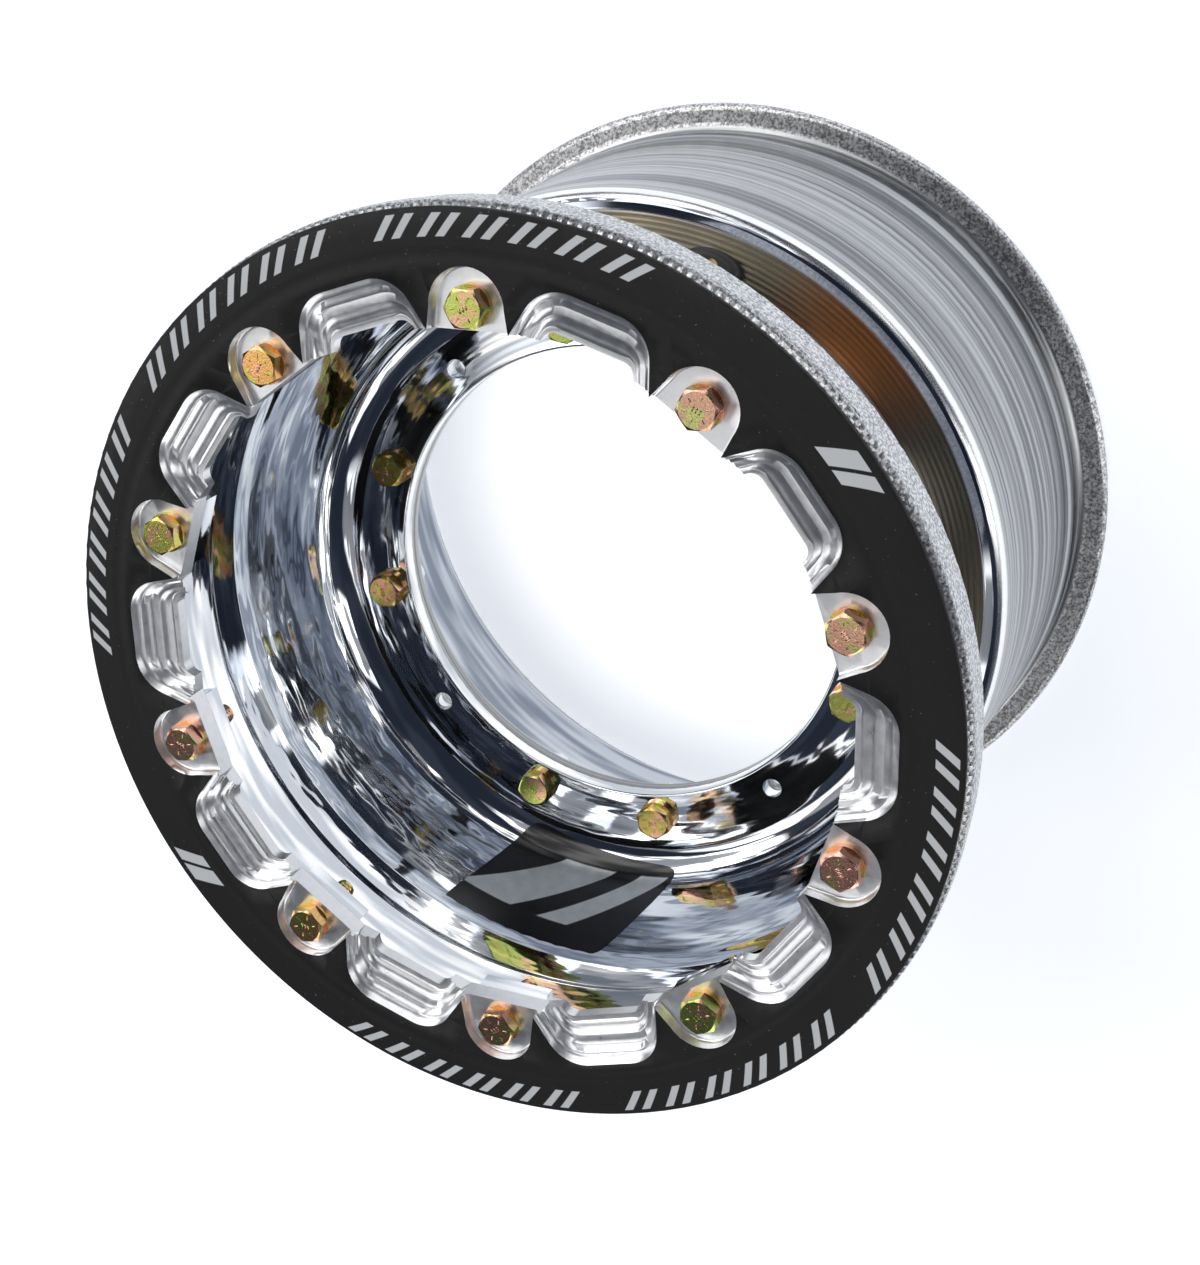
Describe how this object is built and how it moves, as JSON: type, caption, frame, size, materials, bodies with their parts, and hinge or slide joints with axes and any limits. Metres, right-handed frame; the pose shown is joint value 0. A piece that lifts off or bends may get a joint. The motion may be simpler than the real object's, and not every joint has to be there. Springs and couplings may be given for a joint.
{
  "type": "car wheel",
  "caption": "Two-piece racing wheel whose shells bolt together at a deep flange, with a scalloped black clamp ring that locks the outer tyre bead.",
  "frame": {"origin": "on the axle line, in the plane that the wheel's rear lip stands on", "axes": "+Z along the axle line, from the rear shell towards the clamp ring; +X halfway between two open holes of the bolt flange"},
  "size_m": [0.29, 0.29, 0.2208],
  "materials": {
    "ring_black": "black anodised and turned, with the pockets and scallops cut bright",
    "front_alloy": "polished inside, spun outside",
    "rear_alloy": "brushed and lightly dulled",
    "seal_rubber": "matt black",
    "gold_zinc": "yellow zinc plate with a faint rainbow",
    "bright_zinc": "clear zinc plate",
    "valve_rubber": "matt black",
    "valve_brass": "plain",
    "cap_plastic": "black"
  },
  "bodies": {
    "wheel": {"beadlock_ring": "ring_black", "front_shell": "front_alloy", "rear_shell": "rear_alloy", "shell_seal": "seal_rubber", "ring_bolt_01": "gold_zinc", "ring_washer_01": "gold_zinc", "ring_bolt_02": "gold_zinc", "ring_washer_02": "gold_zinc", "ring_bolt_03": "gold_zinc", "ring_washer_03": "gold_zinc", "ring_bolt_04": "gold_zinc", "ring_washer_04": "gold_zinc", "ring_bolt_05": "gold_zinc", "ring_washer_05": "gold_zinc", "ring_bolt_06": "gold_zinc", "ring_washer_06": "gold_zinc", "ring_bolt_07": "gold_zinc", "ring_washer_07": "gold_zinc", "ring_bolt_08": "gold_zinc", "ring_washer_08": "gold_zinc", "ring_bolt_09": "gold_zinc", "ring_washer_09": "gold_zinc", "ring_bolt_10": "gold_zinc", "ring_washer_10": "gold_zinc", "flange_bolt_01": "gold_zinc", "flange_washer_01": "gold_zinc", "lock_nut_01": "bright_zinc", "flange_bolt_02": "gold_zinc", "flange_washer_02": "gold_zinc", "lock_nut_02": "bright_zinc", "flange_bolt_03": "gold_zinc", "flange_washer_03": "gold_zinc", "lock_nut_03": "bright_zinc", "flange_bolt_04": "gold_zinc", "flange_washer_04": "gold_zinc", "lock_nut_04": "bright_zinc", "flange_bolt_05": "gold_zinc", "flange_washer_05": "gold_zinc", "lock_nut_05": "bright_zinc", "flange_bolt_06": "gold_zinc", "flange_washer_06": "gold_zinc", "lock_nut_06": "bright_zinc", "flange_bolt_07": "gold_zinc", "flange_washer_07": "gold_zinc", "lock_nut_07": "bright_zinc", "flange_bolt_08": "gold_zinc", "flange_washer_08": "gold_zinc", "lock_nut_08": "bright_zinc", "valve_body": "valve_rubber", "valve_stem": "valve_brass", "valve_core": "valve_brass"},
    "cap": {"valve_cap": "cap_plastic"},
    "core_pin": {"valve_core_pin": "valve_brass"}
  },
  "joints": [
    {"name": "cap_off", "type": "slide", "parent": "wheel", "child": "cap", "axis": [-0.2165, 0.0456, -0.9752], "range_m": [0, 0.012]},
    {"name": "core_pin_push", "type": "slide", "parent": "wheel", "child": "core_pin", "axis": [0.2165, -0.0456, 0.9752], "range_m": [0, 0.001], "stiffness_N_per_m": 60, "springref_m": -0.002}
  ]
}
